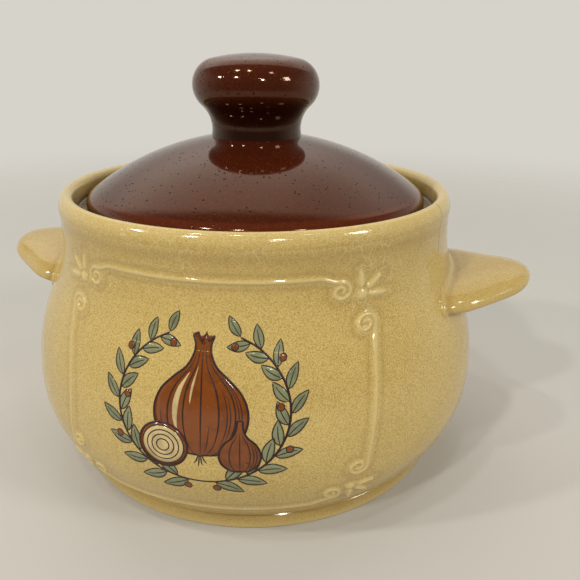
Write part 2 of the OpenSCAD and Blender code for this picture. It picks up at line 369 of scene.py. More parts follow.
def specks(graph, place, scale, radius, share):
    """Round specks: one in each cell, so many cells to a metre, of which a share shows."""
    settings = {"feature": "F1"}
    sockets = {"Vector": place, "Scale": scale}
    near = graph.add("ShaderNodeTexVoronoi", settings, sockets, "Distance")
    colour = graph.add("ShaderNodeTexVoronoi", settings, sockets, "Color")
    draw = graph.add("ShaderNodeSeparateColor", None, [colour], "Red")
    size = graph.add("ShaderNodeSeparateColor", None, [colour], "Green")
    grown = radius * scale * (0.45 + 0.55 * size)
    return (1 - near / grown).rise(0.0, 0.5) * (draw < share)


def tan_surface(graph):
    """Honey-tan glaze: cloudy and grainy, pale on edges, deep in creases, with painted shade,
    crazed, specked.
    """
    colours = bpy.context.scene.crock_colours
    place = graph.place()
    thin = graph.attribute("thin")
    pool = graph.attribute("pool")
    cloud = graph.noise(place, 38, 3)
    mottle = graph.noise(place, 330, 3)
    grain = graph.noise(place, 2900, 1)
    x, y, z = graph.split(place)

    # Body: cloud and grain, thick glaze and painted shade, painted dark shade in the lid's seat,
    # thin glaze on edges
    deep = 0.22 * cloud.rise(0.40, 0.70) + 0.12 * mottle.rise(0.45, 0.75)
    deep = deep + 0.85 * grain.rise(0.47, 0.72)
    colour = graph.mix(0.68 * deep.least(1.0), colours.tan, colours.tan_deep_and_shade)
    light = 0.72 * grain.rise(0.50, 0.28)
    colour = graph.mix(light, colour, colours.tan_thin)
    # This mark holds both thick glaze and painted shade
    colour = graph.mix(0.75 * pool.least(1.0), colour, colours.tan_deep_and_shade)
    # Painted dark shade in the lid's seat, where its marks pass 1.2
    darkening = (0.8 * (pool - 1.2)).most(0.0)
    colour = graph.mix(darkening.least(0.8), colour, colours.speck)
    colour = graph.mix((0.62 * thin).least(1.0), colour, colours.tan_thin)

    # Crazing: the edges of warped cells, strongest in patches at the neck
    shift = graph.noise(place, 260, 2, "Color")
    warped = graph.add(
        "ShaderNodeVectorMath", {"operation": "MULTIPLY_ADD"},
        [shift, 3 * (2.2 * MM,), place])
    cells = graph.add(
        "ShaderNodeTexVoronoi", {"feature": "DISTANCE_TO_EDGE"},
        {"Vector": warped, "Scale": 370.0}, "Distance")
    patch = graph.noise(place, 60, 2).rise(0.42, 0.62)
    craze = cells.rise(0.036, 0.010) * (0.20 + 0.80 * patch)
    craze = craze * (0.10 + 0.31 * z.rise(56 * MM, 68 * MM))
    colour = graph.mix(craze, colour, colours.craze)

    # A fine dark crack down from the rim, and iron specks
    aside = x * math.cos(HAIRLINE_TURN) + y * math.sin(HAIRLINE_TURN)
    ahead = x * math.sin(HAIRLINE_TURN) - y * math.cos(HAIRLINE_TURN)
    stray = (graph.noise(place, 130, 2) - 0.5) * 2.2 * MM
    hairline = abs(aside + stray).rise(0.22 * MM, 0.06 * MM)
    hairline = hairline * (ahead > 0) * z.rise(67.5 * MM, 70.5 * MM)
    dots = specks(graph, place, 115.0, 0.32 * MM, 0.32)
    dark = (0.75 * hairline).most(0.85 * dots)
    colour = graph.mix(dark, colour, colours.speck)

    wave = graph.noise(place, 52, 2)
    peel = graph.noise(place, 420, 2)
    roughness = 0.075 + 0.06 * mottle + 0.10 * craze
    height = 0.80 * wave + 0.09 * peel - 0.10 * craze - 0.20 * dark
    return glossy(graph, colour, roughness, height, 0.16 * MM)


def brown_surface(graph):
    """Dark red-brown glaze, lighter where it breaks on edges, with pin-holes."""
    colours = bpy.context.scene.crock_colours
    place = graph.place()
    thin = graph.attribute("thin")
    cloud = graph.noise(place, 55, 3)
    grain = graph.noise(place, 1500, 2)
    share = 0.16 * cloud + 0.36 * grain.rise(0.46, 0.72) + 0.70 * thin
    colour = graph.mix(share.least(1.0), colours.brown, colours.brown_thin)
    # Darker under the knob: painted shade under its cap, partly thick glaze in its waist
    colour = graph.mix(0.85 * graph.attribute("pool"), colour, colours.brown_deep_and_shade)
    patch = graph.noise(place, 42, 1).rise(0.38, 0.60)
    holes = specks(graph, place, 820.0, 0.38 * MM, 0.32 + 0.63 * patch)
    wave = graph.noise(place, 70, 2)
    peel = graph.noise(place, 600, 2)
    height = 0.70 * wave + 0.05 * peel - 0.40 * holes
    glaze = glossy(graph, colour, 0.055 + 0.05 * grain, height, 0.07 * MM, BROWN_GLEAM)
    pit = graph.add(
        "ShaderNodeBsdfPrincipled", None,
        {"Base Color": (*PIN_HOLE, 1), "Roughness": 0.9, "Specular IOR Level": 0.1})
    return graph.add("ShaderNodeMixShader", None, [0.85 * holes, glaze, pit])


def clay_surface(graph):
    """Bare fired clay of the foot ring."""
    clay = bpy.context.scene.crock_colours.clay
    place = graph.place()
    grit = graph.noise(place, 1300, 3)
    darkening = graph.noise(place, 60, 2)
    worn = 0.5 * darkening.rise(0.45, 0.7) + 0.3 * grit.rise(0.5, 0.7)
    colour = graph.mix(worn, clay, dimmed(clay, 0.62))
    return glossy(graph, colour, 0.62 + 0.25 * grit, grit, 0.1 * MM)


def ink_surface(ink, fade, dull):
    """Printed ink: a little uneven, worn by a share to the tan below, with a dull gloss."""
    def surface(graph):
        colours = bpy.context.scene.crock_colours
        full = getattr(colours, ink)
        place = graph.place()
        grain = graph.noise(place, 1700, 2)
        mottle = graph.noise(place, 300, 3)
        colour = graph.mix(0.75 * mottle.rise(0.42, 0.66), full, dimmed(full, 0.68))
        bare = grain.rise(0.66, 0.74) * fade
        colour = graph.mix(bare, colour, colours.tan)
        wave = graph.noise(place, 52, 2)
        return glossy(graph, colour, dull + 0.05 * mottle, wave, 0.13 * MM)
    return surface


# Curves and skins

def spaced(low, high, step):
    """Evenly spaced values from low to high, about step apart."""
    return np.linspace(low, high, max(2, int(round(abs(high - low) / step)) + 1))


def round_path(centre, rx, rz, angle):
    """Points round an oval at some angles."""
    return np.stack([centre[0] + rx * np.cos(angle), centre[1] + rz * np.sin(angle)], 1)


def ellipse(centre, rx, rz, count):
    """Points all round an oval."""
    return round_path(centre, rx, rz, np.linspace(0, TAU, count, endpoint=False))


def arc(centre, radius, start, end, count):
    """Points of a circular arc between two angles in degrees."""
    return round_path(centre, radius, radius, np.radians(np.linspace(start, end, count)))


def from_front(radius, angle, height):
    """Points at radii, angles round from the front and heights."""
    return np.stack([radius * np.sin(angle), -radius * np.cos(angle), height], -1)


def rounded(corners, step):
    """A path through corners (r, z, radius), each rounded by its radius, in steps."""
    pts = np.array([c[:2] for c in corners], float)
    path = [pts[0]]
    for i in range(1, len(pts) - 1):
        before, after = pts[i - 1] - pts[i], pts[i + 1] - pts[i]
        before /= np.linalg.norm(before)
        after /= np.linalg.norm(after)
        half = math.acos(np.clip(before @ after, -1, 1)) / 2
        radius = corners[i][2]
        if radius <= 0 or half > math.radians(89):
            path.append(pts[i])
            continue
        reach = radius / math.tan(half)
        middle = before + after
        middle = pts[i] + middle / np.linalg.norm(middle) * radius / math.sin(half)
        first, last = pts[i] + before * reach - middle, pts[i] + after * reach - middle
        start = math.atan2(first[1], first[0])
        sweep = math.atan2(first[0] * last[1] - first[1] * last[0], first @ last)
        count = max(4, int(abs(sweep) * radius / step) + 2)
        for t in np.linspace(0, 1, count):
            angle = start + sweep * t
            path.append(middle + radius * np.array([math.cos(angle), math.sin(angle)]))
    path.append(pts[-1])
    return densified(np.array(path), step * 4)


def densified(path, step):
    """The same path with long pieces split, so that no step is longer than given."""
    out = [path[0]]
    for a, b in zip(path[:-1], path[1:]):
        count = max(1, int(math.ceil(np.linalg.norm(b - a) / step)))
        out += [a + (b - a) * k / count for k in range(1, count + 1)]
    return np.array(out)


def bezier(a, b, c, d, count=24):
    """Points of a cubic curve with two handles."""
    t = np.linspace(0, 1, count)[:, None]
    a, b, c, d = (np.array(p, float) for p in (a, b, c, d))
    return a * (1 - t) ** 3 + 3 * b * t * (1 - t) ** 2 + 3 * c * t * t * (1 - t) + d * t ** 3


def smooth_through(points, per_span):
    """A smooth path through points, at each one along the line between its neighbours."""
    p = np.array(points, float)
    p = np.vstack([2 * p[0] - p[1], p, 2 * p[-1] - p[-2]])
    t = np.linspace(0, 1, per_span, endpoint=False)[:, None]
    out = []
    for a, b, c, d in zip(p[:-3], p[1:-2], p[2:-1], p[3:]):
        out.append(0.5 * (2 * b + (c - a) * t + (2 * a - 5 * b + 4 * c - d) * t ** 2
                          + (3 * b - a - 3 * c + d) * t ** 3))
    return np.vstack([*out, p[-2]])


def path_distance(points, path):
    """Distance of each point from a path of straight pieces."""
    best = np.full(len(points), np.inf)
    for a, b in zip(path[:-1], path[1:]):
        run = b - a
        t = np.clip(((points - a) @ run) / max(run @ run, 1e-18), 0, 1)
        best = np.minimum(best, np.linalg.norm(points - a - t[:, None] * run, axis=1))
    return best


def hump(distance, width):
    """1 where a distance is 0, fading away over a width."""
    return np.exp(-(distance / width) ** 2)


def ring_faces(rows, loop):
    """Faces of a skin of closed rows, each end shut by a point; both points follow the rows."""
    faces = []
    first, last, top = rows * loop, rows * loop + 1, (rows - 1) * loop
    for j in range(loop):
        k = (j + 1) % loop
        faces += [(a + j, a + k, a + loop + k, a + loop + j) for a in range(0, top, loop)]
        faces += [(first, k, j), (last, top + j, top + k)]
    return faces


def linked(name, data):
    """A new object in the scene."""
    piece = bpy.data.objects.new(name, data)
    bpy.context.scene.collection.objects.link(piece)
    return piece


def outward(name, mesh, smooth=True):
    """An object from a mesh, with its faces turned outwards."""
    work = bmesh.new()
    work.from_mesh(mesh)
    bmesh.ops.recalc_face_normals(work, faces=work.faces)
    work.to_mesh(mesh)
    work.free()
    mesh.polygons.foreach_set("use_smooth", [smooth] * len(mesh.polygons))
    return linked(name, mesh)


def finished(name, verts, faces, materials, smooth=True):
    """A piece from its points and faces."""
    mesh = bpy.data.meshes.new(name)
    mesh.from_pydata([tuple(v) for v in verts], [], [tuple(f) for f in faces])
    for material in materials:
        mesh.materials.append(material)
    mesh.validate()
    return outward(name, mesh, smooth)


def write_attribute(piece, name, values):
    """Keeps one number for each point of a piece, for its material."""
    layer = piece.data.attributes.new(name, "FLOAT", "POINT")
    layer.data.foreach_set("value", np.asarray(values, np.float32))


def dressed(piece, body, slot, *nodes):
    """Fastens a piece to its body and hides the solids that it stands for; slot is not used."""
    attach(piece, body)
    if nodes:
        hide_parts(*nodes)


class Wall:
    """Outside of the pot: its radius at each height, from two belly arcs and a neck arc."""

    def __init__(self):
        s = bpy.context.scene.pot_sizes
        self.sizes = s
        self.neck_radius = s.belly_radius - s.neck_in
        self.neck_z = s.rim_height - s.lip_height
        self.low_c = s.belly_radius - s.low_arc
        self.up_c = s.belly_radius - s.up_arc
        self.neck_c = self.neck_radius + s.neck_arc
        self.arcs = s.up_arc + s.neck_arc

    def radius(self, z, grow=0.0):
        """Radius at heights z, with the skin moved out by grow."""
        s = self.sizes
        z = np.asarray(z, float)
        rise = z - s.belly_height
        turn_z = s.belly_height + (self.neck_z - s.belly_height) * (s.up_arc + grow) / self.arcs
        low = self.low_c + np.sqrt(np.maximum((s.low_arc + grow) ** 2 - rise ** 2, 0))
        up = self.up_c + np.sqrt(np.maximum((s.up_arc + grow) ** 2 - rise ** 2, 0))
        drop = z - self.neck_z
        neck = self.neck_c - np.sqrt(np.maximum((s.neck_arc - grow) ** 2 - drop ** 2, 0))
        lip_low = s.rim_height - s.lip_thick / 2
        share = np.clip(drop / (lip_low - self.neck_z), 0, 1)
        lip = self.neck_radius + grow + s.lip_flare * share
        return np.select([z < s.belly_height, z < turn_z, z < self.neck_z], [low, up, neck], lip)


# The pot

def spiral(centre, radius, end_radius, start, sweep, count=64):
    """A volute that starts on its outer turn, angles in degrees."""
    t = np.linspace(0, 1, count)
    r = radius + (end_radius - radius) * t ** 1.25
    return round_path(centre, r, r, np.radians(start + sweep * t))


def relief_at(x, z, wall):
    """Height of the raised frame over the wall, and distance from it, at points of the front."""
    s = bpy.context.scene.relief_sizes
    top = wall.neck_z - s.top_gap
    middle, half = (top + s.low_height) / 2, (top - s.low_height) / 2
    bead_x, bead_z = s.width / 2 - s.bead_in_x, half - s.bead_in_z
    along = np.clip((z - middle + SWAY_DROP) / SWAY_REACH, -1, 1)
    sway = s.sway * np.cos(math.pi / 2 * along) ** 2
    p = np.stack([np.abs(x - sway) - bead_x, np.abs(z - middle) - bead_z], 1)
    beside = np.array([-s.scroll_in_x, s.scroll_across])
    below = np.array([s.scroll_across, -s.scroll_in_z])

    def rail(middle_end, end, bend, scroll_start):
        run_in = bezier(end, end + bend, scroll_start - bend, scroll_start)
        return np.vstack([[middle_end], run_in])

    top_rail = rail(
        (-bead_x - MM, s.bead_in_z), np.array([beside[0] - RAIL_RUN, s.bead_in_z]),
        np.array([RAIL_BEND, 0]), beside + (0, s.scroll))
    side_rail = rail(
        (s.bead_in_x, -bead_z - MM), np.array([s.bead_in_x, below[1] - RAIL_RUN]),
        np.array([0, RAIL_BEND]), below + (s.scroll, 0))
    scrolls = (
        spiral(beside, s.scroll, SCROLL_EYE, 90, -SCROLL_SWEEP),
        spiral(below, s.scroll, SCROLL_EYE, 0, SCROLL_SWEEP))

    def ridge(distance, foot):
        return 0.5 + 0.5 * np.cos(math.pi * np.clip(distance / foot, 0, 1))

    # Rails: a narrow crest on a wide soft foot
    near = np.minimum(path_distance(p, top_rail), path_distance(p, side_rail))
    height = 0.74 * ridge(near, 0.55 * s.ridge) + 0.26 * ridge(near, 1.4 * s.ridge)
    height = s.rail_share * height

    # Sprig: two scrolls, a bead, and three petals
    for path in scrolls:
        d = path_distance(p, path)
        height = np.maximum(height, 0.92 * ridge(d, 0.62 * s.ridge))
        near = np.minimum(near, d)
    d = np.linalg.norm(p, axis=1)
    height = np.maximum(height, np.sqrt(np.clip(1 - (d / s.bead) ** 2, 0, 1)))
    near = np.minimum(near, np.maximum(d - 0.6 * s.bead, 0))
    for angle in (math.pi / 4 - s.petal_fan, math.pi / 4, math.pi / 4 + s.petal_fan):
        along = p @ (math.cos(angle), math.sin(angle)) - s.bead
        across = p @ (-math.sin(angle), math.cos(angle))
        t = np.clip(along / s.petal, 0, 1)
        half_width = s.petal_width / 2 * np.maximum(np.sin(math.pi * t ** 0.75) ** 0.7, 1e-3)
        inside = (along > 0) & (along < s.petal)
        petal = np.where(inside, np.clip(1 - (across / half_width) ** 2, 0, 1), 0)
        height = np.maximum(height, 0.95 * petal * np.minimum(1, 6 * t * (1 - t) + 0.25))
        beyond = np.maximum(np.abs(along - s.petal / 2) - s.petal / 2, 0)
        near = np.minimum(near, np.hypot(across, beyond))
    return height * s.height, near


def pot_section(wall):
    """Half section of the pot, from under its middle, over the rim, to the well's middle."""
    s = wall.sizes
    film = bpy.context.scene.print_sizes.film * INK_LAYERS
    ring_in = s.foot_radius - s.foot_ring
    start_z = s.foot_height + 1.6 * MM
    under = rounded([
        (0, s.foot_hollow, 0), (ring_in, s.foot_hollow, 0.8 * MM), (ring_in, 0, 0.6 * MM),
        (s.foot_radius, 0, 0.9 * MM), (s.foot_radius, s.foot_height - s.crease, 0.5 * MM),
        (s.foot_radius - s.crease, s.foot_height, 0.45 * MM),
        (float(wall.radius(start_z)) - film - 0.25 * MM, start_z - 0.55 * MM, 0.6 * MM),
        (float(wall.radius(start_z)) - film, start_z, 0)], 0.45 * MM)
    lip_z = s.rim_height - s.lip_thick / 2
    roll_z = s.rim_height - s.lip_roll

    # Rows of the side: the top of each band and its spacing, fine where the relief lies
    bands = (
        (9.5 * MM, 0.6 * MM), (27 * MM, 0.28 * MM), (56 * MM, 1.3 * MM), (73.4 * MM, 0.32 * MM),
        (roll_z, 0.5 * MM))
    lows = (start_z, *(top for top, _ in bands))
    z = np.concatenate([spaced(low, top, step)[1:] for low, (top, step) in zip(lows, bands)])
    dip = s.lip_dip * hump(z - roll_z + 2.6 * MM, 1.5 * MM)
    side = np.stack([wall.radius(z) - film - dip, z], 1)

    # Over the lip, down into the lid's seat, past the ledge and round the well
    lip_c = float(wall.radius(lip_z)) - s.lip_thick / 2 - film / 2
    round_r = s.lip_thick / 2 - film / 2
    t = np.linspace(0, math.pi / 2, 19)[1:]
    wide, tall = side[-1, 0] - lip_c, lip_z + round_r - roll_z
    roll = round_path((lip_c, roll_z), wide, tall, t)
    over = np.vstack([roll, arc((lip_c, lip_z), round_r, 90, 180, 13)[1:]])
    seat_r = over[-1, 0]
    mouth_r = seat_r - s.ledge
    seat_z = s.rim_height - s.seat_depth
    slope_z = seat_z - s.ledge_thick
    inner_z = spaced(66.4 * MM, s.floor_height + 8 * MM, 3.2 * MM)
    inner = np.stack([wall.radius(inner_z, -s.wall), inner_z], 1)
    ledge = rounded([
        (seat_r, lip_z, 0), (seat_r, seat_z, 0.9 * MM), (mouth_r, seat_z, 0.9 * MM),
        (mouth_r, slope_z, 1.2 * MM), tuple(inner[0]) + (0,)], 0.5 * MM)[1:]
    floor_r = float(wall.radius(s.floor_height, -s.wall))
    floor = rounded([
        tuple(inner[-1]) + (0,), (floor_r, s.floor_height, 6 * MM), (0, s.floor_height, 0)],
        1.4 * MM)[1:]
    section = np.vstack([under, side, over, ledge, inner[1:], floor])
    return section, len(under), len(under) + len(side)


def pot_columns():
    """Angles round the pot from its front, closer together where the relief lies."""
    middle = spaced(-RELIEF_PLAIN, RELIEF_PLAIN, math.radians(0.9))
    dense = spaced(RELIEF_PLAIN, RELIEF_TURN, math.radians(0.27))[1:]
    rest = spaced(RELIEF_TURN, TAU - RELIEF_TURN, math.radians(3))[1:-1]
    return np.concatenate([-dense[::-1], middle, dense, rest])


class CROCK_OT_pot(Operator):
    """Make the pot with its raised frame and corner sprigs"""
    bl_idname = "crock.pot"
    bl_label = "Pot"

    def execute(self, context):
        wall = Wall()
        section, first, last = pot_section(wall)
        angles = pot_columns()
        rows, columns = len(section), len(angles)
        step = np.gradient(section, axis=0)
        normal = np.stack([step[:, 1], -step[:, 0]], 1)
        normal /= np.linalg.norm(normal, axis=1)[:, None]

        r = np.repeat(section[:, 0], columns)
        z = np.repeat(section[:, 1], columns)
        angle = np.tile(angles, rows)
        row = np.repeat(np.arange(rows), columns)
        x = r * np.sin(angle)
        outside = (row >= first) & (row < last)
        front = outside & (np.abs(angle) < RELIEF_TURN + math.radians(1))
        height, near = np.zeros(len(r)), np.ones(len(r))
        height[front], near[front] = relief_at(x[front], z[front], wall)
        r = r + normal[row, 0] * height
        z = z + normal[row, 1] * height
        verts = from_front(r, angle, z)

        # Where the glaze lies thin or thick, and where shade is painted
        s = wall.sizes
        within = row >= last
        seat_z = s.rim_height - s.seat_depth
        seat_r = section[last:, 0][np.abs(section[last:, 1] - seat_z) < 0.5 * MM].max()
        crest = hump(s.rim_height - z, 2.8 * MM) * (row >= last - 4)
        foot = (row < first) & (z < 1.4 * MM) & (r > s.foot_radius - 1.2 * MM)
        thin = 1.5 * height / context.scene.relief_sizes.height + 0.55 * crest + 0.8 * foot
        pool = (
            0.40 * hump(near - 1.7 * MM, 0.55 * MM) * front
            # Thick glaze in the crease above the foot band, widened into painted shade over the
            # band
            + 0.95 * hump(z - s.foot_height, 1.3 * MM) * (r > s.foot_radius - 2 * MM)
            # Painted shade round the lid's seat and in its outer corner, strong enough to pass 1.2
            + 1.2 * hump(z - seat_z, 2.6 * MM) * within
            + 1.1 * hump(np.hypot(r - seat_r, z - seat_z), 2.4 * MM) * within
            # A darker band under the lip: thick glaze in its groove, and painted shade where the
            # neck faces down
            + 0.50 * hump(z - s.rim_height + s.lip_roll + 2.2 * MM, 2.3 * MM) * outside
            + 0.24 * hump(z - wall.neck_z + 1 * MM, 5 * MM) * outside
            # Painted shade: darker towards the bottom, outside and under the foot
            + 0.42 * hump(z, 14 * MM) * (row < last))

        # The first and last rows lie on the axis, so each becomes one point
        keep = np.arange(columns, (rows - 1) * columns)
        faces = ring_faces(rows - 2, columns)
        body = np.vstack([verts[keep], (0, 0, section[0, 1]), (0, 0, section[-1, 1])])
        glaze = shaded("honey_glaze", tan_surface)
        piece = finished("pot", body, faces, [glaze, shaded("bare_clay", clay_surface)])
        write_attribute(piece, "thin", np.append(thin[keep], (0, 0)))
        write_attribute(piece, "pool", np.append(pool[keep], (0, 0)))
        for face in piece.data.polygons:
            face.material_index = int(face.center.z < 0.1 * MM)
        dressed(piece, "crock", "tan_glaze", "crock_body", "panel_rails", "top_left_sprig",
                "top_right_sprig", "bottom_left_sprig", "bottom_right_sprig")
        return {"FINISHED"}


# The lugs

class LugPlan:
    """Plan of a lug: the tight outline round five discs, read by its support lines."""

    def __init__(self, s, wall_thick):
        length = wall_thick + s.reach
        self.length = length
        discs = [(length - s.tip_radius, 0, s.tip_radius)]
        for side in (-1, 1):
            for x, width in ((0, s.root_width), (length * LUG_MID_SHARE, s.mid_width)):
                discs.append((x, side * (width / 2 - s.side_radius), s.side_radius))
        discs = np.array(discs)
        self.normal = arc((0, 0), 1, -90, 90, 241)
        self.support = (self.normal @ discs[:, :2].T + discs[:, 2]).max(1)

    def inset(self, x, y):
        """Distance of inner points from the outline."""
        best = np.full(np.shape(x), np.inf)
        for n, h in zip(self.normal, self.support):
            best = np.minimum(best, h - n[0] * x - n[1] * y)
        return np.maximum(best, 0)

    def half_width(self, x):
        """Half width of the outline at a distance x from the root."""
        up = self.normal[:, 1] > 1e-3
        n, h = self.normal[up], self.support[up]
        return max(float(((h - n[:, 0] * x) / n[:, 1]).min()), 0.0)


def lug_skin(wall):
    """Points, faces, glaze and painted-shade marks of the right lug, with clay pressed in round its
    root.
    """
    s = bpy.context.scene.lug_sizes
    plan = LugPlan(s, wall.sizes.wall)
    lug_z = wall.neck_z - s.drop
    root = float(wall.radius(lug_z)) - wall.sizes.wall

    # Rows start sunk in the wall, bent as the wall is, and straighten towards the tip
    start, bend_end = wall.sizes.wall - 2.4 * MM, wall.sizes.wall + 1.5 * MM
    t = np.linspace(0, 1, 46)
    stations = np.concatenate([
        spaced(start, start + 6 * MM, 0.26 * MM)[:-1],
        start + 6 * MM + (plan.length - start - 6 * MM) * np.sin(t * math.pi / 2)])
    around = np.linspace(-math.pi / 2, math.pi / 2, 53)
    loop = len(around) * 2 - 2
    bow = root + wall.sizes.wall

    def sag(y):
        return bow - np.sqrt(bow ** 2 - y ** 2)

    def rise(inset, width, order, power):
        return np.maximum(1 - (1 - np.minimum(inset / width, 1)) ** order, 0) ** power

    def blunted(x):
        nose = np.clip((x / plan.length - 0.55) / 0.45, 0, 1) ** 2
        return s.low_round * (1 + 1.2 * nose), s.slope * (1 - 0.5 * nose)

    rows, insets = [], []
    for station in stations[:-1]:
        blend = min((plan.length - station) / (plan.length - bend_end), 1) ** 1.5
        edge = plan.half_width(station)
        for _ in range(8):
            edge = plan.half_width(station - sag(edge) * blend)
        y = edge * np.sin(around)
        x = station - sag(y) * blend
        inset = plan.inset(x, y)
        inset[0] = inset[-1] = 0
        low_r, slope = blunted(x)
        widest = low_r - s.thick / 2
        top = widest + (s.thick - low_r) * rise(inset, slope, 3, LUG_FULLNESS)
        under = widest - low_r * rise(inset, low_r, 2, 0.5)
        upper = np.stack([x, y, top], 1)
        lower = np.stack([x, y, under], 1)[::-1][1:-1]
        rows.append(np.vstack([upper, lower]))
        insets.append(np.append(inset, inset[::-1][1:-1]))
    grid = np.array(rows)
    along = np.gradient(grid, axis=0)
    round_it = np.roll(grid, -1, 1) - np.roll(grid, 1, 1)
    normal = np.cross(round_it, along)
    normal /= np.maximum(np.linalg.norm(normal, axis=2), 1e-12)[..., None]
    if normal[len(grid) // 2, len(around) // 2, 2] < 0:
        normal = -normal

    cos, sin = math.cos(s.tilt), math.sin(s.tilt)

    def placed(p):
        return np.stack([
            root + p[..., 0] * cos - p[..., 2] * sin, p[..., 1],
            lug_z + p[..., 0] * sin + p[..., 2] * cos], -1)

    def outside(p):
        return np.hypot(p[..., 0], p[..., 1]) - wall.radius(p[..., 2])

    # Clay pressed in round the root, then where the glaze lies thin or thick, and an even painted
    # shade
    gap = outside(placed(grid))
    f = s.root_fillet
    inner = np.clip(f - np.maximum(gap, 0), 0, f)
    grid = grid + normal * (f - np.sqrt(f * f - inner * inner))[..., None]
    verts = placed(grid)
    gap = outside(verts)
    edge = hump(np.array(insets), 1.1 * MM) * (gap > 2 * MM)
    thin = 0.24 * edge + 0.40 * hump(gap - 0.55 * MM, 0.35 * MM)
    # An even painted shade over the whole lug, and thicker glaze round its root
    pool = 0.38 + 0.40 * hump(gap - 1.9 * MM, 0.8 * MM)
    faces = ring_faces(len(verts), loop)
    nose_z = blunted(plan.length)[0] - s.thick / 2
    poles = placed(np.array([[start, 0, 0], [plan.length, 0, nose_z]]))
    verts = np.vstack([verts.reshape(-1, 3), poles])
    return verts, faces, np.append(thin.ravel(), (0, 0)), np.append(pool.ravel(), (0, 0))


class CROCK_OT_lugs(Operator):
    """Make the two tab lugs"""
    bl_idname = "crock.lugs"
    bl_label = "Lugs"

    def execute(self, context):
        verts, faces, thin, pool = lug_skin(Wall())
        glaze = bpy.data.materials["honey_glaze"]
        spin = np.array(Matrix.Rotation(context.scene.lug_sizes.turn, 3, "Z"))
        for name, side in (("right_lug", 1), ("left_lug", -1)):
            piece = finished(name + "_tab", verts * (side, 1, 1) @ spin.T, faces, [glaze])
            write_attribute(piece, "thin", thin)
            write_attribute(piece, "pool", pool)
            dressed(piece, "crock", "tan_glaze", name)
        return {"FINISHED"}


# The lid and its knob, turned by Geometry Nodes

def node_group(name, inputs, output):
    """A geometry tree with named inputs: its graph, its inputs' values and their identifiers."""
    tree = bpy.data.node_groups.new(name, "GeometryNodeTree")
    keys = {}
    for title, kind, default in inputs:
        made = tree.interface.new_socket(title, in_out="INPUT", socket_type="NodeSocket" + kind)
        if default is not None:
            made.default_value = default
        keys[title] = made.identifier
    tree.interface.new_socket(output, in_out="OUTPUT", socket_type="NodeSocketGeometry")
    graph = Graph(tree)
    given = graph.add("NodeGroupInput").socket.node.outputs
    return graph, [Value(graph, given[title]) for title in keys], keys


def turning_tree():
    """Nodes that turn a profile, points in X and Z, about the Z axis into a closed skin."""
    graph, (profile, segments, glaze), keys = node_group(
        "turned_profile", (
            ("Profile", "Geometry", None), ("Segments", "Int", 96), ("Glaze", "Material", None)),
        "Skin")
    rings = graph.add(
        "GeometryNodeAttributeDomainSize", {"component": "MESH"}, [profile], "Point Count")
    grid = graph.add(
        "GeometryNodeMeshGrid", None,
        {"Size X": 1.0, "Size Y": 1.0, "Vertices X": segments + 1, "Vertices Y": rings}, "Mesh")
    index = graph.add("GeometryNodeInputIndex")
    column = ((index + 0.5) / rings).by("FLOOR")
    row = index - column * rings
    angle = column / segments * TAU
    place = graph.add("GeometryNodeInputPosition")
    point = graph.add(
        "GeometryNodeSampleIndex", {"data_type": "FLOAT_VECTOR", "domain": "POINT"},
        {"Geometry": profile, "Value": place, "Index": row})
    radius, _, height = graph.split(point)
    spot = graph.join(radius * angle.by("COSINE"), radius * angle.by("SINE"), height)
    skin = graph.add("GeometryNodeSetPosition", None, {"Geometry": grid, "Position": spot})
    skin = graph.add("GeometryNodeMergeByDistance", None, {"Geometry": skin, "Distance": 1e-6})
    skin = graph.add("GeometryNodeRealizeInstances", None, {"Geometry": skin})
    skin = graph.add("GeometryNodeSetMaterial", None, {"Geometry": skin, "Material": glaze})
    graph.add("NodeGroupOutput", None, [skin])
    return graph.tree, keys


def grown(name, verts, tree, values):
    """Runs a tree on a chain of points, and returns the result as a plain mesh."""
    seed = bpy.data.meshes.new(name + "_seed")
    seed.from_pydata([tuple(v) for v in verts], [(i, i + 1) for i in range(len(verts) - 1)], [])
    carrier = linked(name + "_seed", seed)
    modifier = carrier.modifiers.new("nodes", "NODES")
    modifier.node_group = tree
    for identifier, value in values.items():
        modifier[identifier] = value
    carrier.update_tag()
    bpy.context.view_layer.update()
    ready = carrier.evaluated_get(bpy.context.evaluated_depsgraph_get())
    mesh = bpy.data.meshes.new_from_object(ready)
    carrier.modifiers.remove(modifier)
    bpy.data.objects.remove(carrier)
    bpy.data.meshes.remove(seed)
    mesh.name = name
    return mesh


def turned(name, section, glaze, tree, keys):
    """A closed piece turned from a half section."""
    verts = np.stack([section[:, 0], np.zeros(len(section)), section[:, 1]], 1)
    segments = bpy.context.scene.lid_sizes.segments
    mesh = grown(name, verts, tree, {keys["Segments"]: segments, keys["Glaze"]: glaze})
    return outward(name, mesh)


def points_of(piece):
    """Points of a piece, and their distances from the pot's axis."""
    co = np.zeros(len(piece.data.vertices) * 3)
    piece.data.vertices.foreach_get("co", co)
    co = co.reshape(-1, 3)
    return co, np.hypot(co[:, 0], co[:, 1])


def dome_section(s):
    """Half section of the lid, from the dome's top round its edge to the hollow's top."""
    centre = s.top - s.dome
    edge_r = s.radius - s.edge
    edge_z = centre + math.sqrt((s.dome - s.edge) ** 2 - edge_r ** 2)
    lean = math.degrees(math.atan2(edge_z - centre, edge_r))
    outer = arc((0, centre), s.dome, 90, lean, 72)
    edge = arc((edge_r, edge_z), s.edge, lean, 0, 22)[1:]
    inner_r = s.collar - s.collar_thick
    hollow = s.dome - s.thick
    shoulder = math.degrees(math.acos(inner_r / hollow))
    roof = arc((0, centre), hollow, shoulder, 90, 40)
    under = rounded([
        tuple(edge[-1]) + (0,), (s.radius, s.rest, 0.6 * MM), (s.collar, s.rest, 0.5 * MM),
        (s.collar, s.collar_low, 1.3 * MM), (inner_r, s.collar_low, 1.3 * MM),
        (inner_r, roof[0, 1], 1.5 * MM), tuple(roof[3]) + (0,)], 0.5 * MM)
    section = np.vstack([outer, edge, under[1:], roof[4:]])
    section[0, 0] = section[-1, 0] = 0
    return section


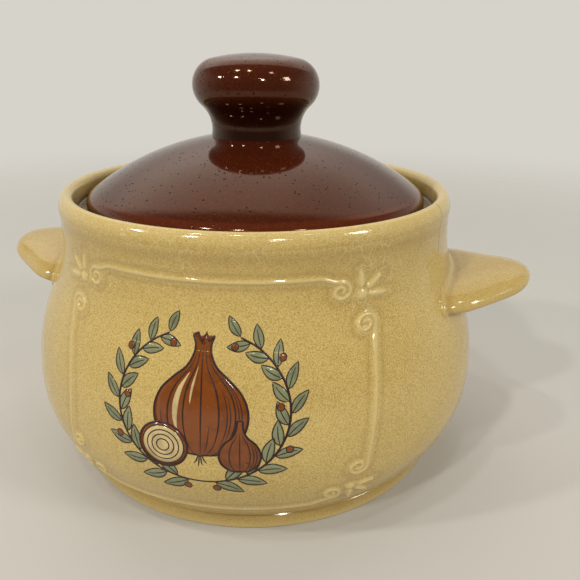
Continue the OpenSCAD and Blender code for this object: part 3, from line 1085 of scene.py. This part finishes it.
def knob_section(s):
    """Half section of the knob, from its crown down to a foot pressed into the dome."""
    side_r = s.knob_radius - s.knob_side
    crown_z = s.knob_top - s.knob_crown
    side_z = crown_z + math.sqrt((s.knob_crown - s.knob_side) ** 2 - side_r ** 2)
    lean = math.degrees(math.atan2(side_z - crown_z, side_r))
    hollow_r = s.knob_neck + s.knob_hollow
    reach = s.knob_side + s.knob_hollow
    hollow_z = side_z - math.sqrt(reach ** 2 - (hollow_r - side_r) ** 2)
    turn_at = math.degrees(math.atan2(hollow_z - side_z, hollow_r - side_r))
    crown = arc((0, crown_z), s.knob_crown, 90, lean, 26)
    side = arc((side_r, side_z), s.knob_side, lean, turn_at, 44)[1:]
    neck = arc((hollow_r, hollow_z), s.knob_hollow, turn_at + 180, 200, 34)[1:]
    foot = densified(np.array([neck[-1], (0, neck[-1, 1])]), 4 * MM)[1:]
    section = np.vstack([crown, side, neck, foot])
    section[0, 0] = section[-1, 0] = 0
    return section


class CROCK_OT_lid(Operator):
    """Make the domed lid and its knob"""
    bl_idname = "crock.lid"
    bl_label = "Lid and knob"

    def execute(self, context):
        s = context.scene.lid_sizes
        glaze = shaded("red_brown_glaze", brown_surface)
        turning = turning_tree()
        dome = turned("lid_top", dome_section(s), glaze, *turning)
        p, out = points_of(dome)
        edge = hump(p[:, 2] - s.rest - 1.1 * s.edge, 1.6 * MM) * (out > s.radius - 3 * MM)
        write_attribute(dome, "thin", 0.55 * edge)
        dressed(dome, "lid", "brown_glaze", "lid_dome")
        knob = turned("lid_mushroom_knob", knob_section(s), glaze, *turning)
        p, out = points_of(knob)
        crown = hump(out - s.knob_radius + 3.5 * MM, 1.8 * MM) * (p[:, 2] > s.knob_top - 6 * MM)
        write_attribute(knob, "thin", 0.25 * crown)
        # Painted shade under the knob's cap, partly glaze pooled in its waist, rising over 6 mm
        # downwards
        under = np.clip((s.knob_top - s.knob_side - 2 * MM - p[:, 2]) / (6 * MM), 0, 1)
        write_attribute(knob, "pool", under * under * (3 - 2 * under))
        dressed(knob, "lid", "brown_glaze", "lid_knob")
        return {"FINISHED"}


# The printed picture

class Drawing:
    """Flat shapes in the picture's plane, as points (x, z) and faces."""

    def __init__(self):
        self.verts = []
        self.faces = []

    def add(self, verts, faces):
        """Takes in points and the faces between them."""
        start = len(self.verts)
        self.verts += [tuple(v) for v in verts]
        self.faces += [tuple(start + i for i in f) for f in faces]

    def ladder(self, left, right, across=6):
        """Fills between two edges that run side by side."""
        left, right = np.array(left), np.array(right)
        share = np.linspace(0, 1, across + 1)
        grid = left[:, None] * (1 - share)[None, :, None] + right[:, None] * share[None, :, None]
        n = across + 1
        faces = [(i * n + j, i * n + j + 1, (i + 1) * n + j + 1, (i + 1) * n + j)
                 for i in range(len(left) - 1) for j in range(across)]
        self.add(grid.reshape(-1, 2), faces)

    def line(self, path, width, taper=0.0, closed=False):
        """A drawn line, thinner at its ends by a share."""
        p = np.array(path, float)
        if closed:
            run = np.roll(p, -1, 0) - np.roll(p, 1, 0)
        else:
            run = np.gradient(p, axis=0)
        run /= np.maximum(np.linalg.norm(run, axis=1), 1e-12)[:, None]
        side = np.stack([-run[:, 1], run[:, 0]], 1)
        t = np.linspace(0, 1, len(p))
        half = width / 2 * (1 - taper + taper * np.sin(math.pi * t))
        verts = np.vstack([p - side * half[:, None], p + side * half[:, None]])
        n = len(p)
        spans = range(n if closed else n - 1)
        self.add(verts, [(i, (i + 1) % n, n + (i + 1) % n, n + i) for i in spans])

    def disc(self, centre, rx, rz, count, rings):
        """A filled oval."""
        verts = [tuple(centre)]
        for k in range(1, rings + 1):
            verts += list(ellipse(centre, rx * k / rings, rz * k / rings, count))
        spans = [(i, (i + 1) % count) for i in range(count)]
        faces = [(0, 1 + i, 1 + j) for i, j in spans]
        for k in range(rings - 1):
            a, b = 1 + k * count, 1 + (k + 1) * count
            faces += [(a + i, b + i, b + j, a + j) for i, j in spans]
        self.add(verts, faces)

    def oval(self, centre, rx, rz, width, count):
        """An oval line."""
        self.line(ellipse(centre, rx, rz, count), width, closed=True)


def printed(name, drawing, layer, ink, wall):
    """Lays flat shapes on the wall as a closed film of ink, layer films high."""
    sizes = bpy.context.scene.print_sizes
    flat = np.array(drawing.verts)
    faces = [f if area(flat, f) > 0 else f[::-1] for f in drawing.faces]
    z = flat[:, 1] + sizes.height

    def on_wall(height):
        r = wall.radius(z) - sizes.film * INK_LAYERS + height
        return from_front(r, flat[:, 0] / wall.radius(z), z)

    count = len(flat)
    verts = np.vstack([on_wall(sizes.film * layer), on_wall(-2 * sizes.film)])
    used = dict.fromkeys((a, b) for f in faces for a, b in zip(f, f[1:] + f[:1]))
    skin = list(faces) + [tuple(count + i for i in f[::-1]) for f in faces]
    skin += [(b, a, count + a, count + b) for a, b in used if (b, a) not in used]
    piece = finished(name, verts, skin, [ink])
    dressed(piece, "crock", "tan_glaze")


def area(flat, face):
    """Signed area of a face of a flat drawing."""
    p = flat[list(face)]
    q = np.roll(p, -1, 0)
    return float((p[:, 0] * q[:, 1] - q[:, 0] * p[:, 1]).sum() / 2)


def leafing_tree():
    """Nodes that set a leaf or berry along a stem, turned to either side in turn."""
    graph, (stem, leaf, count, spread, offset, tip, sway, seed, ink), keys = node_group(
        "leafy_stem", (
            ("Stem", "Geometry", None), ("Leaf", "Object", None), ("Count", "Int", 12),
            ("Spread", "Float", 0.6), ("Offset", "Float", 0.0), ("Tip Size", "Float", 0.7),
            ("Sway", "Float", 0.1), ("Seed", "Int", 1), ("Ink", "Material", None)), "Leaves")
    curve = graph.add("GeometryNodeMeshToCurve", None, {"Mesh": stem})
    curve = graph.add("GeometryNodeResampleCurve", None, {"Curve": curve, "Count": count})
    index = graph.add("GeometryNodeInputIndex")
    side = 2 * (index - 2 * (index / 2).by("FLOOR")) - 1
    tangent = graph.add("GeometryNodeInputTangent")
    run_x, run_y, _ = graph.split(tangent)
    heading = run_y.by("ARCTAN2", run_x)
    wander = graph.add(
        "FunctionNodeRandomValue", {"data_type": "FLOAT"},
        {"Min": -1.0, "Max": 1.0, "Seed": seed}, 1)
    factor = graph.add("GeometryNodeSplineParameter", None, None, "Factor")
    turn_by = heading + side * spread + wander * sway
    across = side * offset
    shift = graph.join(0 - run_y * across, run_x * across, 0.0)
    curve = graph.add("GeometryNodeSetPosition", None, {"Geometry": curve, "Offset": shift})
    shape = graph.add("GeometryNodeObjectInfo", None, {"Object": leaf}, "Geometry")
    size = 1 - (1 - tip) * factor
    spots = graph.add(
        "GeometryNodeInstanceOnPoints", None,
        {"Points": curve, "Instance": shape, "Rotation": graph.join(0.0, 0.0, turn_by),
         "Scale": graph.join(size, size, size)})
    spots = graph.add("GeometryNodeRealizeInstances", None, {"Geometry": spots})
    spots = graph.add("GeometryNodeSetMaterial", None, {"Geometry": spots, "Material": ink})
    graph.add("NodeGroupOutput", None, [spots])
    return graph.tree, keys


def flat_object(name, drawing):
    """A drawing as an object in the XY plane, to be set along a stem."""
    mesh = bpy.data.meshes.new(name)
    mesh.from_pydata([(x, z, 0) for x, z in drawing.verts], [], drawing.faces)
    return linked(name, mesh)


def leaf_drawings(s):
    """A bay leaf's fill and its lines, lying along +X from its stalk."""
    t = np.linspace(0, 1, 13)
    half = s.leaf_width / 2 * np.sin(math.pi * t ** 0.82) ** 0.85
    x = s.leaf * (0.08 + 0.92 * t)
    bow = 0.10 * s.leaf_width * np.sin(math.pi * t)
    fill, lines = Drawing(), Drawing()
    upper = np.stack([x, bow + half], 1)
    lower = np.stack([x, bow - half], 1)
    fill.ladder(lower, upper, 4)
    thin = 0.62 * s.line
    lines.line(np.vstack([upper, lower[::-1][1:-1]]), thin, closed=True)
    rib = np.linspace(0, 0.80 * s.leaf, 9)
    lines.line(np.stack([rib, np.interp(rib, x, bow)], 1), thin, taper=0.4)
    return fill, lines


class CROCK_OT_picture(Operator):
    """Make the printed picture: onions in a wreath of bay"""
    bl_idname = "crock.picture"
    bl_label = "Printed picture"

    def execute(self, context):
        s = context.scene.print_sizes
        wall = Wall()
        inks = {
            name: shaded(name + "_ink", ink_surface(name, fade, dull))
            for name, fade, dull in (
                ("rust", 0.12, 0.12), ("sage", 0.25, 0.12), ("cream", 0.10, 0.12),
                ("line", 0.05, 0.34))}
        leaves, berries, berry_lines, rust, shine, lines = (Drawing() for _ in range(6))
        front_cream, front_rust, front_lines = (Drawing() for _ in range(3))
        self.wreath(s, leaves, lines, berries, berry_lines, inks)
        self.onion(s, rust, lines)
        self.onion_shine(shine)
        self.front_pieces(s, front_cream, front_rust, front_lines)
        for name, drawing, layer, ink in (
                ("leaves", leaves, 1, "sage"), ("rust", rust, 1, "rust"),
                ("shine", shine, 2, "cream"), ("lines", lines, 3, "line"),
                ("berries", berries, 3.2, "rust"), ("berry_lines", berry_lines, 3.35, "line"),
                ("front_cream", front_cream, 4, "cream"), ("front_rust", front_rust, 3.5, "rust"),
                ("front_lines", front_lines, 5, "line")):
            printed("print_" + name, drawing, layer, inks[ink], wall)
        return {"FINISHED"}

    def wreath(self, s, leaves, lines, berries, berry_lines, inks):
        """Two leafy stems that cross below the onions."""
        bare_points = 10  # points of a stem before its first leaf
        tree, keys = leafing_tree()
        leaf_fill, leaf_lines = leaf_drawings(s)
        berry_fill, berry_edge = Drawing(), Drawing()
        berry_fill.disc((0, 0), 0.95 * MM, 0.95 * MM, 18, 2)
        berry_edge.oval((0, 0), 0.95 * MM, 0.95 * MM, 0.55 * s.line, 18)
        shapes = [
            flat_object("seed_shape", d) for d in (leaf_fill, leaf_lines, berry_fill, berry_edge)]
        for side in (-1, 1):
            angle = np.radians(np.linspace(-101, 66, 90))
            stem = round_path((0, 0), side * s.wreath_x, s.wreath_z, angle)
            lines.line(stem, 1.15 * s.line, taper=0.35)
            leafy_part = np.column_stack([stem, np.zeros(len(stem))])[bare_points:]
            leafy = {"Count": s.leaves, "Spread": 0.62 * side, "Offset": 0.0, "Tip Size": 0.72,
                     "Sway": 0.10, "Seed": 3 + side, "Ink": inks["sage"]}
            dotted = {"Count": s.berries, "Spread": 0.0, "Offset": side * 2.3 * MM,
                      "Tip Size": 0.85, "Sway": 0.0, "Seed": 5, "Ink": inks["rust"]}
            for shape, values, target in (
                    (shapes[0], leafy, leaves), (shapes[1], leafy, lines),
                    (shapes[2], dotted, berries), (shapes[3], dotted, berry_lines)):
                settings = {keys[k]: v for k, v in {**values, "Leaf": shape}.items()}
                mesh = grown("stem_growth", leafy_part, tree, settings)
                target.add(
                    [v.co.xy for v in mesh.vertices], [tuple(p.vertices) for p in mesh.polygons])
                bpy.data.meshes.remove(mesh)
        for shape in shapes:
            bpy.data.objects.remove(shape)

    def bulb(self, share=1.0):
        """Right edge of the big onion from root to tip, drawn in by a share."""
        edge = MM * np.array([
            (0.9, -10.6), (4.6, -10.1), (8.6, -7.6), (11.1, -3.6), (11.5, 0.6), (9.8, 4.8),
            (6.6, 8.0), (3.7, 10.4), (2.2, 13.0), (1.9, 15.2), (2.6, 17.2)])
        path = smooth_through(edge, 6)
        path[:, 0] *= share
        return path

    def onion(self, s, rust, lines):
        """The big onion, with the lines of its skin and its roots."""
        right = self.bulb()
        left = right * (-1, 1)
        rust.ladder(left, right, 12)
        tip = MM * np.array([
            (2.6, 17.2), (1.3, 15.9), (0.6, 17.9), (-0.5, 15.9), (-1.4, 17.7), (-2.6, 17.2)])
        rust.add([tuple(p) for p in tip] + [(0, 15.0 * MM)], [(6, i, i + 1) for i in range(5)])
        lines.line(np.vstack([right, tip[1:-1], left[::-1]]), s.line)
        lines.line(MM * np.array([(-0.9, -10.6), (0, -10.8), (0.9, -10.6)]), s.line)
        for share in (-0.70, -0.36, 0.02, 0.40, 0.74):
            path = self.bulb(share)
            path = path[4:-12 if abs(share) > 0.5 else -8]
            lines.line(path, 0.75 * s.line, taper=0.75)
        for share, low, high in (
                (0.87, 9, 40), (0.81, 12, 36), (0.57, 10, 34), (0.64, 14, 30), (0.20, 7, 20),
                (-0.85, 8, 24)):
            lines.line(self.bulb(share)[low:high], 0.5 * s.line, taper=0.9)
        for x, z, bend in (
                (-1.5, -13.0, -0.7), (-0.5, -13.7, -0.2), (0.5, -13.4, 0.3), (1.6, -12.8, 0.8)):
            root = bezier((0.3 * x * MM, -10.6 * MM), (0.5 * x * MM, -11.6 * MM),
                          ((x - bend) * MM, (z + 0.9) * MM), (x * MM, z * MM), 8)
            lines.line(root, 0.7 * s.line, taper=0.5)

    def onion_shine(self, shine):
        """Light streaks on the big onion's shoulder."""
        for outer, inner, low, high in ((-0.60, -0.47, 16, 40), (-0.26, -0.19, 26, 44)):
            a, b = self.bulb(outer)[low:high], self.bulb(inner)[low:high]
            t = np.sin(np.linspace(0, math.pi, len(a)))[:, None] ** 0.6
            middle = (a + b) / 2
            shine.ladder(middle + (a - middle) * t, middle + (b - middle) * t, 2)

    def front_pieces(self, s, cream, rust, lines):
        """A cut onion and a small whole one, in front of the big onion."""
        centre, rx, rz = np.array((-9.4, -9.2)) * MM, 6.3 * MM, 5.9 * MM
        rust.disc(centre, rx, rz, 40, 3)
        for share in (0.86, 0.66, 0.46, 0.26):
            lines.oval(centre, rx * share, rz * share, 0.62 * s.line, 36)
        lines.oval(centre, rx, rz, s.line, 44)
        cream.disc(centre, rx * 0.86, rz * 0.86, 40, 4)
        edge = MM * np.array([
            (0.4, -5.1), (2.4, -4.8), (4.5, -3.0), (5.0, -0.2), (3.8, 2.4), (1.9, 4.1), (0.9, 6.0),
            (0.6, 8.4)])
        path = smooth_through(edge, 6)
        at = np.array((9.6, -9.6)) * MM
        right, left = at + path, at + path * (-1, 1)
        rust.ladder(left, right, 8)
        lines.line(np.vstack([right, left[::-1]]), s.line, closed=True)
        for share in (-0.5, 0.0, 0.5, 0.68, 0.82):
            skin = at + path * (share, 1)
            lines.line(skin[3:-8] if share < 0.6 else skin[7:-16], 0.6 * s.line, taper=0.8)


# The stage

class CROCK_OT_stage(Operator):
    """Make the floor, the light and the camera"""
    bl_idname = "crock.stage"
    bl_label = "Stage"

    def execute(self, context):
        scene = context.scene
        scene.view_settings.view_transform = "Standard"
        self.floor(scene)
        self.room(scene)
        self.lamps()
        self.camera(scene)
        return {"FINISHED"}

    def floor(self, scene):
        """A pale disc that fades into the room."""
        pale = scene.crock_colours.floor

        def surface(graph):
            place = graph.place()
            far = graph.add("ShaderNodeVectorMath", {"operation": "LENGTH"}, [place], "Value")
            cloud = graph.noise(place, 3, 2)
            colour = graph.mix(0.10 * cloud, pale, dimmed(pale, 0.8))
            return graph.add(
                "ShaderNodeBsdfPrincipled", None,
                {"Base Color": colour, "Roughness": 0.7, "Alpha": far.rise(0.70, 0.20)})

        verts = [(x, y, 0) for x, y in ellipse((0, 0), 1, 1, 96)]
        faces = [range(len(verts))]
        finished("floor", verts, faces, [shaded("plain_floor", surface)], False)

    def room(self, scene):
        """A pale room: lighter behind and above the crock, dimmer behind the camera."""
        world = bpy.data.worlds.new("room")
        scene.world = world
        world.use_nodes = True
        world.node_tree.nodes.clear()
        graph = Graph(world.node_tree)
        way = graph.add("ShaderNodeTexCoord", None, None, "Generated")
        x, y, z = graph.split(way)
        cos, sin = math.cos(CAMERA_TURN), math.sin(CAMERA_TURN)
        back = cos * y - sin * x
        side = cos * x + sin * y
        behind = back.rise(-0.75, 0.35)
        over = (back * z - 0.19 * z * z - 0.55 * side * side).rise(-0.05, 0.03)
        pale = scene.crock_colours.room
        shade = dimmed(pale, ROOM_SHADE)
        low = graph.mix(behind, shade, pale)
        high = graph.mix(over, shade, dimmed(pale, ROOM_CEILING))
        colour = graph.mix(z.rise(0.30, 0.66), low, high)
        colour = graph.mix(0.30 * side.rise(0.02, 0.34) * z.rise(0.12, 0.30), colour, shade)
        light = graph.add("ShaderNodeBackground", None, {"Color": colour, "Strength": 1.0})
        graph.add("ShaderNodeOutputWorld", None, {"Surface": light})

    def lamps(self):
        """Small square lamps on a dome, aimed at the crock."""
        for name, azimuth, height, size, power in LAMPS:
            azimuth, height = math.radians(azimuth), math.radians(height)
            place = LAMP_DISTANCE * Vector(from_front(math.cos(height), azimuth, math.sin(height)))
            light = bpy.data.lights.new(name, "AREA")
            light.shape = "SQUARE"
            light.size = size
            light.energy = power
            light.color = LAMP_COLOUR
            lamp = linked(name, light)
            lamp.location = place
            lamp.rotation_euler = (LAMP_AIM - place).to_track_quat("-Z", "Y").to_euler()

    def camera(self, scene):
        """The camera of the photo's view."""
        data = bpy.data.cameras.new("camera")
        data.sensor_width = 36
        data.lens = 36 * CAMERA_FOCAL / FRAME_PIXELS
        data.clip_start, data.clip_end = 0.005, 20
        camera = linked("camera", data)
        spin = Matrix.Rotation(CAMERA_TURN, 4, "Z")
        tip = Matrix.Rotation(math.pi / 2 - CAMERA_PITCH, 4, "X")
        roll = Matrix.Rotation(CAMERA_ROLL, 4, "Z")
        camera.matrix_world = spin @ Matrix.Translation(CAMERA_PLACE) @ tip @ roll
        scene.camera = camera


STEPS = (CROCK_OT_stage, CROCK_OT_pot, CROCK_OT_lugs, CROCK_OT_lid, CROCK_OT_picture)
GROUPS = {
    "pot_sizes": PotSizes, "relief_sizes": ReliefSizes, "lug_sizes": LugSizes,
    "lid_sizes": LidSizes, "print_sizes": PrintSizes, "crock_colours": CrockColours}


class CROCK_PT_panel(Panel):
    """Sizes, colours and making steps of the crock"""
    bl_label = "Soup Crock"
    bl_idname = "CROCK_PT_panel"
    bl_space_type = "VIEW_3D"
    bl_region_type = "UI"
    bl_category = "Crock"

    def draw(self, context):
        """Lists the making steps, then each group of settings."""
        for step in STEPS:
            self.layout.operator(step.bl_idname)
        for group in GROUPS:
            box = self.layout.box()
            settings = getattr(context.scene, group)
            for name in settings.__annotations__:
                box.prop(settings, name)


CLASSES = (*GROUPS.values(), *STEPS, CROCK_PT_panel)


def register():
    """Makes the classes known, and hangs the settings on the scene."""
    for cls in CLASSES:
        bpy.utils.register_class(cls)
    for name, group in GROUPS.items():
        setattr(bpy.types.Scene, name, PointerProperty(type=group))


def unregister():
    """Takes away what register added."""
    for name in GROUPS:
        delattr(bpy.types.Scene, name)
    for cls in reversed(CLASSES):
        bpy.utils.unregister_class(cls)


def main():
    """Makes the crock step by step."""
    register()
    for step in STEPS:
        getattr(bpy.ops.crock, step.bl_idname.split(".")[1])()


if __name__ == "__main__":
    main()
